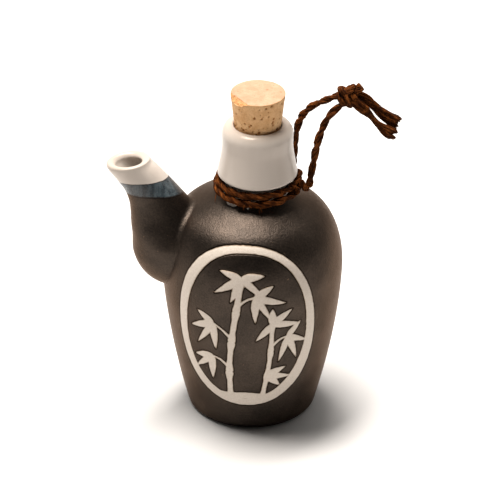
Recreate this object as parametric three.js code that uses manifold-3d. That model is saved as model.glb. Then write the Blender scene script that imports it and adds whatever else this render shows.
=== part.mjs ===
// A hand-made soy sauce dispenser: a glazed stoneware bottle with a side spout,
// a cork in its mouth, and a loop of palm twine tied round its neck.
// Millimetres, +Z up. The origin is the centre of the flat foot. The spout
// points to -X and the front of the bottle faces -Y.

import * as THREE from 'three';
import { mergeVertices } from 'three/addons/utils/BufferGeometryUtils.js';
import Module from 'manifold-3d';

const wasm = await Module();
wasm.setup();

// Body, a surface of revolution about Z
const BELLY_RADIUS = 39;
const BELLY_HEIGHT = 70;
const FOOT_FLAT_RADIUS = 24.9;
const FOOT_ROUNDING = 3.3;
const TAPER_DEPTH = 4.6;
const TAPER_DROP = 40;
const TAPER_POWER = 1.66;
const SHOULDER_RISE = 30.9;
const SHOULDER_POWERS = [1.88, 1 / 4.43];
const SHOULDER_END = 97.5;
const WALL = 3.5;
const FLOOR_THICKNESS = 5;
const FLOOR_CORNER = 6;
const CAVITY_RISE = 33.5;

// Neck and white collar, pushed a little off the body's axis, away from the spout
const NECK_SHIFT = 1.85;
const NECK_SHIFT_FROM = 94;
const NECK_SHIFT_TO = 107;
const NECK_RADIUS = 14.2;
const NECK_FLARE_TOP = 111;
const NECK_FLARE_PULLS = [[19, 102.1], [14.6, 103.5]];
const NECK_BORE_RADIUS = 9.8;
const RIM_UNDERSIDE = 113.2;
const RIM_RADIUS = 17.1;
const WAIST_RADIUS = 15.1;
const WAIST_HEIGHT = 127;
const FLARE_POWER = 1.35;
const LIP_START = 132.3;
const LIP_CROWN_RADIUS = 11.1;
const MOUTH_HEIGHT = 137;
const MOUTH_BORE_RADIUS = 10.2;
const MOUTH_ROUNDING = 0.9;

// Spout: a bulb on the body's side and a tube that leans out of it
const BULB_CENTRE = new THREE.Vector3(-33.7, 0, 80);
const BULB_RADII = new THREE.Vector3(18.3, 18.8, 20.3);
const SPOUT_WALL = 3.4;
// Each station is an oval across the tube: its heel on the outer side (x, z),
// its throat on the side of the neck (x, z) and its half width along Y.
const SPOUT_TUBE = [
  [-51.2, 83.0, -17.5, 82.0, 17.0],
  [-52.3, 88.5, -21.5, 91.0, 16.0],
  [-52.5, 94.0, -27.3, 99.3, 13.0],
  [-53.2, 99.9, -35.2, 109.3, 10.2],
  [-55.4, 105.8, -40.9, 116.0, 8.9],
  [-59.0, 110.9, -43.1, 118.2, 8.6],
  [-61.9, 114.8, -43.7, 119.1, 8.4],
];
const SPOUT_LIP = [
  [-62.9, 117.0, -44.1, 119.9, 8.0],
  [-62.5, 118.3, -44.8, 120.4, 7.5],
  [-61.4, 119.0, -45.7, 120.5, 6.8],
];
const SPOUT_BORE_MOUTH = [
  [-60.2, 118.6, -46.6, 120.2, 5.9],
  [-61.4, 121.6, -45.4, 123.0, 6.9],
];

// Cork
const CORK_TOP = 151.7;
const CORK_BOTTOM = 125;
const CORK_TOP_RADIUS = 11.65;
const CORK_BOTTOM_RADIUS = 8.55;
const CORK_EDGE = 0.35;
const CHIP_CHORD = new THREE.Vector3(-7.8, -5.4, 151.7);
const CHIP_SIZE = new THREE.Vector3(16, 9, 5);
const CHIP_FACING = THREE.MathUtils.degToRad(123.7);
const CHIP_SLOPE = THREE.MathUtils.degToRad(-51.5);

// Twine: two turns round the neck, two strands up to a knot, and two frayed tails
const TWINE_RADIUS = 1.65;
const TURN_RADII = [17.4, 16.4];
const TURN_HEIGHTS = [107.25, 110.35];
const TAIL_RADIUS = 2.1;
const TIE_END = new THREE.Vector3(24, -2.2, 106.9);
const KNOT_CENTRE = new THREE.Vector3(40.7, 2, 149.2);
const KNOT_RADII = new THREE.Vector3(4.9, 4.2, 4.5);
const KNOT_TURN = 2.1;
const TOUCH_GAP = 0.35;
const FRONT_STRAND = [
  [24.1, -2.2, 109.25],
  [24.5, -2.1, 112.4],
  [25.3, -1.9, 116.8],
  [26.0, -1.7, 121.4],
  [26.8, -1.4, 126.2],
  [27.8, -1.1, 130.6],
  [29.3, -0.7, 135.2],
  [31.3, -0.2, 139.5],
  [33.9, 0.2, 142.9],
  [38.4, 0.9, 146.4],
];
const BACK_STRAND = [
  [17.4, 11.6, 112.8],
  [17.5, 11.5, 117.6],
  [17.8, 10.8, 122.8],
  [18.3, 9.8, 127.6],
  [19.1, 8.8, 131.8],
  [20.3, 7.9, 135.8],
  [22.0, 7.0, 138.8],
  [24.5, 6.1, 141.8],
  [27.4, 5.2, 144.1],
  [30.7, 4.3, 146.1],
  [34.2, 3.9, 147.9],
  [38.0, 3.4, 149.3],
];
const UPPER_TAIL = [
  [43.0, 3.2, 148.9],
  [47.6, 3.4, 147.6],
  [51.9, 3.3, 144.8],
  [55.3, 3.2, 142.2],
  [58.7, 3.0, 139.5],
  [62.2, 2.8, 137.4],
];
const LOWER_TAIL = [
  [42.4, -0.6, 147.9],
  [46.9, -1.3, 144.1],
  [49.5, -1.4, 141.1],
  [52.1, -1.4, 138.0],
  [55.1, -1.3, 135.2],
  [58.0, -1.2, 133.2],
  [60.2, -1.1, 131.8],
];

// Number of flat faces round each turned or lofted form
const BODY_SIDES = 52;
const CAVITY_SIDES = 32;
const SPOUT_SIDES = 24;
const BORE_SIDES = 16;
const CORK_SIDES = 36;
const TURN_SIDES = 36;
const TWINE_SIDES = 8;

const darkGlaze = new THREE.MeshStandardMaterial({ color: 0x3c322d, roughness: 0.45, metalness: 0 });
const cork = new THREE.MeshStandardMaterial({ color: 0xd6b081, roughness: 0.85, metalness: 0 });
const twine = new THREE.MeshStandardMaterial({ color: 0x5e3519, roughness: 0.8, metalness: 0 });

// Turn a three.js geometry into a solid: shared corners merged, collapsed faces dropped
function solidOf(geometry) {
  const bare = geometry.clone();
  bare.deleteAttribute('normal');
  bare.deleteAttribute('uv');
  const merged = mergeVertices(bare, 1e-4);
  const corners = merged.index.array;
  const faces = [];
  for (let i = 0; i < corners.length; i += 3) {
    const [a, b, c] = [corners[i], corners[i + 1], corners[i + 2]];
    if (a !== b && b !== c && c !== a) {
      faces.push(a, b, c);
    }
  }
  return new wasm.Manifold(new wasm.Mesh({
    numProp: 3,
    vertProperties: new Float32Array(merged.attributes.position.array),
    triVerts: new Uint32Array(faces),
  }));
}

function geometryOf(solid) {
  const mesh = solid.getMesh();
  const geometry = new THREE.BufferGeometry();
  geometry.setAttribute('position', new THREE.BufferAttribute(new Float32Array(mesh.vertProperties), 3));
  geometry.setIndex(new THREE.BufferAttribute(new Uint32Array(mesh.triVerts), 1));
  geometry.computeVertexNormals();
  return geometry;
}

// A profile of (radius, height) points turned about Z
function turned(profile, sides) {
  const points = profile.map(([radius, height]) => new THREE.Vector2(radius, height));
  return new THREE.LatheGeometry(points, sides).rotateX(Math.PI / 2);
}

// Points of an arc in the profile's plane, from one angle to another, in degrees
function arc(centreR, centreZ, radiusR, radiusZ, from, to, steps) {
  const points = [];
  for (let i = 0; i <= steps; i += 1) {
    const angle = THREE.MathUtils.degToRad(from + (to - from) * (i / steps));
    points.push([centreR + radiusR * Math.cos(angle), centreZ + radiusZ * Math.sin(angle)]);
  }
  return points;
}

function ellipsoid(centre, radii, sides, rings) {
  const geometry = new THREE.SphereGeometry(1, sides, rings).rotateX(Math.PI / 2);
  return geometry.scale(radii.x, radii.y, radii.z).translate(centre.x, centre.y, centre.z);
}

// Move a turned form sideways where the neck stands off the body's axis
function leanNeck(geometry) {
  const position = geometry.attributes.position;
  for (let i = 0; i < position.count; i += 1) {
    const share = THREE.MathUtils.smoothstep(position.getZ(i), NECK_SHIFT_FROM, NECK_SHIFT_TO);
    position.setX(i, position.getX(i) + NECK_SHIFT * share);
  }
  return geometry;
}

// Outer radius of the body at a height between the foot's rounding and the end of the shoulder
function bodyRadius(height) {
  if (height < BELLY_HEIGHT) {
    const drop = (BELLY_HEIGHT - height) / TAPER_DROP;
    return BELLY_RADIUS - TAPER_DEPTH * drop ** TAPER_POWER;
  }
  const rise = (height - BELLY_HEIGHT) / SHOULDER_RISE;
  return BELLY_RADIUS * (1 - rise ** SHOULDER_POWERS[0]) ** SHOULDER_POWERS[1];
}

// Outer radius of the white collar between its rim and its lip
function collarRadius(height) {
  const below = Math.max(WAIST_HEIGHT - height, 0) / (WAIST_HEIGHT - RIM_UNDERSIDE - 1);
  return WAIST_RADIUS + (RIM_RADIUS - WAIST_RADIUS) * below ** FLARE_POWER;
}

// Foot, belly and shoulder, from the axis outwards and up
function bodyProfile() {
  const profile = [[0, 0]];
  profile.push(...arc(FOOT_FLAT_RADIUS, FOOT_ROUNDING, FOOT_ROUNDING, FOOT_ROUNDING, -90, 0, 4));
  const taperSteps = 8;
  for (let i = 1; i <= taperSteps; i += 1) {
    const height = FOOT_ROUNDING + (BELLY_HEIGHT - FOOT_ROUNDING) * (i / taperSteps);
    profile.push([bodyRadius(height), height]);
  }
  const shoulderSteps = 9;
  for (let i = 1; i <= shoulderSteps; i += 1) {
    const share = Math.sin((Math.PI / 2) * (i / shoulderSteps));
    const height = BELLY_HEIGHT + (SHOULDER_END - BELLY_HEIGHT) * share;
    profile.push([bodyRadius(height), height]);
  }
  return profile;
}

// The flare above the shoulder, the groove for the twine, and the collar with its overhanging rim
function neckProfile() {
  const [low, high] = NECK_FLARE_PULLS;
  const flare = new THREE.CubicBezierCurve(
    new THREE.Vector2(bodyRadius(SHOULDER_END), SHOULDER_END),
    new THREE.Vector2(...low),
    new THREE.Vector2(...high),
    new THREE.Vector2(NECK_RADIUS, NECK_FLARE_TOP),
  );
  const profile = flare.getPoints(6).slice(1).map((point) => [point.x, point.y]);
  profile.push([NECK_RADIUS + 1.2, RIM_UNDERSIDE - 0.4]);
  profile.push([RIM_RADIUS - 0.7, RIM_UNDERSIDE]);
  profile.push([RIM_RADIUS - 0.1, RIM_UNDERSIDE + 0.5]);
  const collarSteps = 6;
  for (let i = 0; i <= collarSteps; i += 1) {
    const height = RIM_UNDERSIDE + 1 + (WAIST_HEIGHT - RIM_UNDERSIDE - 1) * (i / collarSteps);
    profile.push([collarRadius(height), height]);
  }
  const lipReach = WAIST_RADIUS + 0.1 - LIP_CROWN_RADIUS;
  profile.push(...arc(LIP_CROWN_RADIUS, LIP_START, lipReach, MOUTH_HEIGHT - LIP_START, 0, 90, 5));
  profile.push([0, MOUTH_HEIGHT]);
  return profile;
}

function makeOutside() {
  return solidOf(leanNeck(turned([...bodyProfile(), ...neckProfile()], BODY_SIDES)));
}

// The space for the sauce, and the bore through the neck that the cork closes
function makeInside() {
  const floorRadius = bodyRadius(FLOOR_THICKNESS + FLOOR_CORNER) - WALL;
  const cornerCentre = [floorRadius - FLOOR_CORNER, FLOOR_THICKNESS + FLOOR_CORNER];
  const profile = [[0, FLOOR_THICKNESS]];
  profile.push(...arc(cornerCentre[0], cornerCentre[1], FLOOR_CORNER, FLOOR_CORNER, -90, 0, 3));
  for (const height of [24, 38, 54]) {
    profile.push([bodyRadius(height) - WALL, height]);
  }
  const cavityRadius = BELLY_RADIUS - WALL;
  const cavityEnd = THREE.MathUtils.radToDeg(Math.acos(NECK_BORE_RADIUS / cavityRadius));
  profile.push(...arc(0, BELLY_HEIGHT, cavityRadius, CAVITY_RISE, 0, cavityEnd, 6));
  profile.push([NECK_BORE_RADIUS, WAIST_HEIGHT - 6]);
  profile.push([MOUTH_BORE_RADIUS, WAIST_HEIGHT - 4]);
  const edge = [MOUTH_BORE_RADIUS + MOUTH_ROUNDING, MOUTH_HEIGHT - MOUTH_ROUNDING];
  profile.push(...arc(edge[0], edge[1], MOUTH_ROUNDING, MOUTH_ROUNDING, 180, 90, 2));
  profile.push([edge[0], MOUTH_HEIGHT + 2], [0, MOUTH_HEIGHT + 2]);
  return solidOf(leanNeck(turned(profile, CAVITY_SIDES)));
}

// Loft a closed tube through oval stations, with splines between the stations
function loftOvals(stations, sides, steps) {
  const heel = new THREE.CatmullRomCurve3(stations.map(([x, z]) => new THREE.Vector3(x, 0, z)));
  const throat = new THREE.CatmullRomCurve3(stations.map(([, , x, z]) => new THREE.Vector3(x, 0, z)));
  const width = new THREE.CatmullRomCurve3(stations.map((row, i) => new THREE.Vector3(i, row[4], 0)));
  const positions = [];
  const faces = [];
  for (let ring = 0; ring <= steps; ring += 1) {
    const a = heel.getPoint(ring / steps);
    const b = throat.getPoint(ring / steps);
    const halfWidth = width.getPoint(ring / steps).y;
    const middle = a.clone().add(b).multiplyScalar(0.5);
    const across = b.clone().sub(a).multiplyScalar(0.5);
    for (let side = 0; side < sides; side += 1) {
      const angle = (2 * Math.PI * side) / sides;
      const reach = Math.cos(angle);
      positions.push(middle.x + across.x * reach, halfWidth * Math.sin(angle), middle.z + across.z * reach);
      if (ring < steps) {
        const next = (side + 1) % sides;
        const here = ring * sides;
        const above = here + sides;
        faces.push(here + side, here + next, above + next, here + side, above + next, above + side);
      }
    }
  }
  for (let side = 1; side < sides - 1; side += 1) {
    const top = steps * sides;
    faces.push(0, side + 1, side, top, top + side, top + side + 1);
  }
  const geometry = new THREE.BufferGeometry();
  geometry.setAttribute('position', new THREE.Float32BufferAttribute(positions, 3));
  geometry.setIndex(faces);
  return solidOf(geometry);
}

// The same station, drawn in by the thickness of the wall
function innerStation([heelX, heelZ, throatX, throatZ, halfWidth]) {
  const span = Math.hypot(throatX - heelX, throatZ - heelZ);
  const inX = (throatX - heelX) * (SPOUT_WALL / span);
  const inZ = (throatZ - heelZ) * (SPOUT_WALL / span);
  return [heelX + inX, heelZ + inZ, throatX - inX, throatZ - inZ, halfWidth - SPOUT_WALL];
}

function makeBottle() {
  const bulb = solidOf(ellipsoid(BULB_CENTRE, BULB_RADII, SPOUT_SIDES, 16));
  const tube = loftOvals([...SPOUT_TUBE, ...SPOUT_LIP], SPOUT_SIDES, 18);
  const hollowRadii = BULB_RADII.clone().subScalar(WALL);
  const bulbHollow = solidOf(ellipsoid(BULB_CENTRE, hollowRadii, BORE_SIDES, 12));
  const bore = loftOvals([...SPOUT_TUBE.map(innerStation), ...SPOUT_BORE_MOUTH], BORE_SIDES, 12);
  const outside = makeOutside().add(bulb).add(tube);
  const inside = makeInside().add(bulbHollow).add(bore);
  return outside.subtract(inside);
}

function makeCork() {
  const profile = [
    [0, CORK_BOTTOM],
    [CORK_BOTTOM_RADIUS - CORK_EDGE, CORK_BOTTOM],
    [CORK_BOTTOM_RADIUS, CORK_BOTTOM + CORK_EDGE],
    [CORK_TOP_RADIUS, CORK_TOP - CORK_EDGE],
    [CORK_TOP_RADIUS - CORK_EDGE, CORK_TOP],
    [0, CORK_TOP],
  ];
  // The lower face of the chip's block passes through the chord and slopes down to the cork's side
  const chip = new THREE.BoxGeometry(CHIP_SIZE.x, CHIP_SIZE.y, CHIP_SIZE.z);
  chip.translate(0, CHIP_SIZE.y / 2 - 3, CHIP_SIZE.z / 2).rotateX(CHIP_SLOPE);
  chip.rotateZ(CHIP_FACING).translate(CHIP_CHORD.x, CHIP_CHORD.y, CHIP_CHORD.z);
  const stopper = solidOf(turned(profile, CORK_SIDES)).subtract(solidOf(chip));
  return stopper.translate([NECK_SHIFT, 0, 0]);
}

// A round rod along a smooth route
function rod(route, radius, steps) {
  const section = new THREE.Shape();
  for (let side = 0; side < TWINE_SIDES; side += 1) {
    const angle = (2 * Math.PI * (side + 0.5)) / TWINE_SIDES;
    const point = [radius * Math.cos(angle), radius * Math.sin(angle)];
    if (side === 0) {
      section.moveTo(...point);
    } else {
      section.lineTo(...point);
    }
  }
  section.closePath();
  const path = new THREE.CatmullRomCurve3(route.map((point) => new THREE.Vector3(...point)));
  return new THREE.ExtrudeGeometry(section, { steps, extrudePath: path, bevelEnabled: false });
}

// Two turns of twine lying on each other, with the end that bends away to the strand
function makeNeckWrap() {
  const turns = TURN_RADII.map((radius, i) => {
    const ring = new THREE.TorusGeometry(radius, TWINE_RADIUS + 0.05, TWINE_SIDES, TURN_SIDES);
    return solidOf(ring.translate(NECK_SHIFT, 0, TURN_HEIGHTS[i]));
  });
  const start = [NECK_SHIFT + TURN_RADII[1] - 1.5, -6.5, TURN_HEIGHTS[1] - 1];
  const bend = [TIE_END.x - 2.6, TIE_END.y - 1.4, TIE_END.z + 1.1];
  const end = rod([start, bend, TIE_END.toArray()], TWINE_RADIUS, 5);
  return turns[0].add(turns[1]).add(solidOf(end));
}

// The knot: an uneven ball with two turns of twine round it and one cut end.
// A swollen copy of it cuts the strands and tails that run into it.
function makeKnot(swell) {
  const ball = solidOf(ellipsoid(KNOT_CENTRE, KNOT_RADII.clone().addScalar(swell), 14, 8));
  const leans = [-0.5, 0.75];
  const hoops = leans.map((lean, i) => {
    const hoop = new THREE.TorusGeometry(KNOT_RADII.z - 1.1, KNOT_TURN + swell, 8, 16);
    hoop.rotateY(Math.PI / 2 + lean);
    return solidOf(hoop.translate(KNOT_CENTRE.x - 1.2 + i * 2.2, KNOT_CENTRE.y - 0.6, KNOT_CENTRE.z));
  });
  const cutEnd = rod([
    KNOT_CENTRE.toArray(),
    [KNOT_CENTRE.x + 2.6, KNOT_CENTRE.y - 0.5, KNOT_CENTRE.z + 3.4],
    [KNOT_CENTRE.x + 5.2, KNOT_CENTRE.y - 0.8, KNOT_CENTRE.z + 6.2],
  ], TWINE_RADIUS + swell, 3);
  return ball.add(hoops[0]).add(hoops[1]).add(solidOf(cutEnd));
}

const group = new THREE.Group();

function addPart(name, geometry, material) {
  const mesh = new THREE.Mesh(geometry, material);
  mesh.name = name;
  group.add(mesh);
}

const knotSpace = makeKnot(TOUCH_GAP);

// A strand or a tail stops just short of the knot that holds it
function clearOfKnot(geometry) {
  return geometryOf(solidOf(geometry).subtract(knotSpace));
}

addPart('bottle', geometryOf(makeBottle()), darkGlaze);
addPart('cork_stopper', geometryOf(makeCork()), cork);
addPart('twine_neck_wrap', geometryOf(makeNeckWrap()), twine);
addPart('twine_strand_front', clearOfKnot(rod(FRONT_STRAND, TWINE_RADIUS, 16)), twine);
addPart('twine_strand_back', clearOfKnot(rod(BACK_STRAND, TWINE_RADIUS, 18)), twine);
addPart('twine_knot', geometryOf(makeKnot(0)), twine);
addPart('twine_tail_upper', clearOfKnot(rod(UPPER_TAIL, TAIL_RADIUS, 8)), twine);
addPart('twine_tail_lower', clearOfKnot(rod(LOWER_TAIL, TAIL_RADIUS, 8)), twine);

export default group;
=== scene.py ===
# %% [markdown]
# # A soy sauce dispenser in stoneware, cork and palm twine
# This lesson dresses a ready made frame of plain solids: a hollow bottle with a side spout, a cork,
# and a loop of twine round the neck. The frame is in metres and never changes. Every piece made here
# is worked out in millimetres, because that is how a potter measures, and is scaled once when its
# mesh is written.

# %% Load the frame
import math

import bpy
import numpy as np
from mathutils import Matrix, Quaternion, Vector
from mathutils.bvhtree import BVHTree


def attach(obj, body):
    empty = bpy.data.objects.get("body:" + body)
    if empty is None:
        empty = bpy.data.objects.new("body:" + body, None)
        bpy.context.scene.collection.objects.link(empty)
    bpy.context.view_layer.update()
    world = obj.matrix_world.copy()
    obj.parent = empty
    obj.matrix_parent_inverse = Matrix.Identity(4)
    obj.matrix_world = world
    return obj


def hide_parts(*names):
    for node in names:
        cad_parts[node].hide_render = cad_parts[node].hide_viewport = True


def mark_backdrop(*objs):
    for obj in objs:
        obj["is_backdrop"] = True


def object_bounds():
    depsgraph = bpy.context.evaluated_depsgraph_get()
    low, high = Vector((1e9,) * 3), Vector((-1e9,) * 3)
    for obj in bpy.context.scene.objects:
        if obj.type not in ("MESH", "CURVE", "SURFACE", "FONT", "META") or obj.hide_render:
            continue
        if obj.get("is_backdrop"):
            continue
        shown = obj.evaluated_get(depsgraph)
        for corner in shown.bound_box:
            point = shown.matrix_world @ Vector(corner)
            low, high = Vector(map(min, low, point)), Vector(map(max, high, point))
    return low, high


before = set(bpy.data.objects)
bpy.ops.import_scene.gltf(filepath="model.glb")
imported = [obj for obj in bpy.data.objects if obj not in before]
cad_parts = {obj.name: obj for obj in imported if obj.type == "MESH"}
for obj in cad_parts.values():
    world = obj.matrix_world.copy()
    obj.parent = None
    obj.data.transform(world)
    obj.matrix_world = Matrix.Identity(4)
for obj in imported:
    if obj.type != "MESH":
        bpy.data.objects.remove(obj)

MM = 0.001
cad_low, cad_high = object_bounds()
print("the frame spans", [round(x / MM, 1) for x in cad_high - cad_low], "mm")

# %% [markdown]
# ## Camera
# The photograph looks down on the bottle from about 31 degrees with a long lens, so parallel lines
# stay almost parallel. A camera can be placed by eye, or worked out from a point it looks at, its
# distance and its height angle. The second way is used, because each number then means something.

# %% Camera
LOOK_AT = Vector((0, 0, 75)) * MM
CAMERA_DISTANCE = 1700 * MM
CAMERA_ELEVATION = math.radians(30.75)
CAMERA_ROLL = math.radians(0.42)
LENS = 283.4

camera = bpy.data.objects.new("camera", bpy.data.cameras.new("camera"))
bpy.context.scene.collection.objects.link(camera)
bpy.context.scene.camera = camera
backwards = Vector((0, -math.cos(CAMERA_ELEVATION), math.sin(CAMERA_ELEVATION)))
camera.location = LOOK_AT + backwards * CAMERA_DISTANCE
camera.rotation_mode = "QUATERNION"
roll = Quaternion((0, 0, 1), CAMERA_ROLL)
camera.rotation_quaternion = (-backwards).to_track_quat("-Z", "Y") @ roll
camera.data.lens = LENS
camera.data.sensor_width = 36
camera.data.shift_x = -0.005
camera.data.shift_y = -0.0024
print("camera at", [round(x, 3) for x in camera.location], "m")

# %% [markdown]
# ## Routes of the twine
# A piece of two-ply palm twine is tied round the neck. Its two ends rise beside the collar, meet in
# a knot and end as frayed tails. A route is a short list of given points, and a
# Catmull-Rom curve joins them smoothly. It passes through every point, which a Bezier or a B-spline
# doesn't do without extra handles, so the points can be read as real places.

# %% Smooth routes
def smooth_route(points, spacing):
    """A centripetal Catmull-Rom curve through the points, with its own points at even distances"""
    p = np.array(points, float)
    p = np.vstack([2 * p[0] - p[1], p, 2 * p[-1] - p[-2]])
    gaps = np.linalg.norm(np.diff(p, axis=0), axis=1)
    t = np.concatenate([[0], np.cumsum(np.sqrt(gaps))])

    def between(a, b, low, high, s):
        return ((high - s) * a + (s - low) * b) / (high - low)

    dense = []
    for i in range(1, len(p) - 2):
        s = np.linspace(t[i], t[i + 1], 24, endpoint=False)[:, None]
        level = [p[i - 1], p[i], p[i + 1], p[i + 2]]
        knots = t[i - 1:i + 3]
        for reach in (1, 2):
            level = [between(level[k], level[k + 1], knots[k], knots[k + reach], s)
                     for k in range(len(level) - 1)]
        dense.append(between(level[0], level[1], knots[1], knots[2], s))
    dense = np.vstack(dense + [p[-2:-1]])
    run = np.concatenate([[0], np.cumsum(np.linalg.norm(np.diff(dense, axis=0), axis=1))])
    even = np.linspace(0, run[-1], max(3, round(run[-1] / spacing) + 1))
    return np.stack([np.interp(even, run, column) for column in dense.T], 1)


def length_of(route):
    return float(np.linalg.norm(np.diff(route, axis=0), axis=1).sum())


print("a curve over a corner of 10 and 10 mm is", round(length_of(smooth_route(
    [(0, 0, 0), (10, 0, 0), (10, 10, 0)], 0.5)), 1), "mm long")

# %% [markdown]
# The front end of the twine leaves the tie at the neck, rises to the knot and comes out as the lower
# tail. The back end rises behind the collar and comes out as the upper tail. The points between a
# strand and its tail run through the inside of the knot.

# %% The two free ends
TWINE_RADIUS = 1.65
TIE_END = (24, -2.2, 106.9)
KNOT_CENTRE = np.array([40.7, 2, 149.2])
FRONT_STRAND = [
    (24.1, -2.2, 109.25), (24.5, -2.1, 112.4), (25.3, -1.9, 116.8), (26, -1.7, 121.4), (26.8, -1.4, 126.2),
    (27.8, -1.1, 130.6), (29.3, -0.7, 135.2), (31.3, -0.2, 139.5), (33.9, 0.2, 142.9), (38.4, 0.9, 146.4),
]
BACK_STRAND = [
    (17.4, 11.6, 112.8), (17.5, 11.5, 117.6), (17.8, 10.8, 122.8), (18.3, 9.8, 127.6), (19.1, 8.8, 131.8),
    (20.3, 7.9, 135.8), (22, 7, 138.8), (24.5, 6.1, 141.8), (27.4, 5.2, 144.1), (30.7, 4.3, 146.1),
    (34.2, 3.9, 147.9), (38, 3.4, 149.3),
]
UPPER_TAIL = [
    (43, 3.2, 148.9), (47.4, 3.4, 147), (51.4, 3.3, 143.6), (54.8, 3.2, 140.3), (58.4, 3, 137.6),
    (61.9, 2.8, 135.7),
]
LOWER_TAIL = [
    (42.4, -0.6, 147.9), (47, -1.3, 144.3), (49.7, -1.4, 141.4), (52.3, -1.4, 138.2), (55.5, -1.3, 135.2),
    (58.3, -1.2, 133.3), (60.4, -1.1, 132.1),
]
BACK_START = (17.2, 10.4, 110.6)
TWINE_STEP = 0.45
print(len(FRONT_STRAND + LOWER_TAIL), "points for the front end and", len(BACK_STRAND + UPPER_TAIL),
      "for the back end")

# %% [markdown]
# ## Meshes from rings
# Twine, spout and bottle are all skins over rows of points, so one helper joins any stack of rings
# into a tube with closed ends. Blender could also sweep a bevel along a curve, but rings made in
# numpy let every ring have its own size and outline.

# %% Rings to meshes
def skin(rings, closed=False):
    """The faces of a tube over rings of points (ring, side, xyz), with capped ends unless closed"""
    count, sides = rings.shape[:2]
    ring, side = np.meshgrid(np.arange(count if closed else count - 1), np.arange(sides), indexing="ij")
    after, beside = (ring + 1) % count, (side + 1) % sides
    corners = [ring * sides + side, ring * sides + beside, after * sides + beside, after * sides + side]
    faces = np.stack(corners, -1).reshape(-1, 4).tolist()
    if not closed:
        faces.append(list(range(sides))[::-1])
        faces.append([(count - 1) * sides + k for k in range(sides)])
    return rings.reshape(-1, 3), faces


print("a tube over 5 rings of 8 points has", len(skin(np.zeros((5, 8, 3)))[1]), "faces")

# %% [markdown]
# Most pieces are several such tubes, joined into one mesh object. It is smooth shaded, carries what
# its finish reads at each point, and is scaled from millimetres to metres as it is written.

# %% Pieces
def make_piece(name, parts, material, attributes=None):
    """One mesh object from (points in mm, faces) parts, smooth shaded"""
    points, faces, start = [], [], 0
    for part_points, part_faces in parts:
        points.append(part_points)
        faces += [[start + k for k in face] for face in part_faces]
        start += len(part_points)
    mesh = bpy.data.meshes.new(name)
    mesh.from_pydata((np.vstack(points) * MM).tolist(), [], faces)
    for title, values in (attributes or {}).items():
        layer = mesh.attributes.new(title, "FLOAT_VECTOR", "POINT")
        layer.data.foreach_set("vector", np.asarray(values, np.float32).ravel())
    mesh.shade_smooth()
    mesh.materials.append(material)
    piece = bpy.data.objects.new(name, mesh)
    bpy.context.scene.collection.objects.link(piece)
    print(name, "has", len(mesh.vertices), "points and", len(mesh.polygons), "faces")
    return piece


# %% [markdown]
# Hand-made things are never exact. Smooth noise in numpy moves points a little, the same way every
# time, because its random lattice starts from a fixed seed.

# %% Smooth noise
def soft_noise(points, size, seed):
    """Smooth values between -1 and 1 that change over about size millimetres"""
    lattice = np.random.default_rng(seed).uniform(-1, 1, (32, 32, 32))
    scaled = np.asarray(points, float) / size
    cell = np.floor(scaled).astype(int)
    share = scaled - cell
    share = share * share * (3 - 2 * share)
    total = np.zeros(len(scaled))
    for corner in np.ndindex(2, 2, 2):
        weight = np.prod(np.where(corner, share, 1 - share), axis=-1)
        total += weight * lattice[tuple(((cell + corner) % 32).T)]
    return total


def smoothstep(x, low, high):
    share = np.clip((x - low) / (high - low), 0, 1)
    return share * share * (3 - 2 * share)


print("noise along a line:", soft_noise([(k, 0, 0) for k in range(4)], 2.5, 1).round(2))

# %% [markdown]
# ## Finishes as sums
# A finish is a tree of nodes, but most of it is arithmetic on masks, which reads better as Python.
# `Wire` wraps one socket and overloads the operators, so `1 - mask` adds a Math node. Colours and
# vectors go through Mix and Vector Math nodes, because a Math node would turn a colour grey.

# %% Wires
class Wire:
    """The output socket of a node, with Python's operators for sums"""

    def __init__(self, finish, socket):
        self.finish = finish
        self.socket = socket

    def sum(self, operation, first, second):
        return self.finish.node("ShaderNodeMath", {0: first, 1: second}, operation=operation)

    def __add__(self, other):
        return self.sum("ADD", self, other)

    def __sub__(self, other):
        return self.sum("SUBTRACT", self, other)

    def __rsub__(self, other):
        return self.sum("SUBTRACT", other, self)

    def __mul__(self, other):
        return self.sum("MULTIPLY", self, other)

    __radd__ = __add__
    __rmul__ = __mul__

    def least(self, other):
        return self.sum("MINIMUM", self, other)

    def rise(self, low, high):
        """0 below low, 1 above high and smooth between them"""
        sockets = {"Value": self, "From Min": low, "From Max": high}
        return self.finish.node("ShaderNodeMapRange", sockets, interpolation_type="SMOOTHSTEP")


# %% [markdown]
# `Finish` holds one material and its Principled shader. Its `node` method adds any node. The settings
# come first, because one such as the data type decides which sockets the node has.

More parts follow.
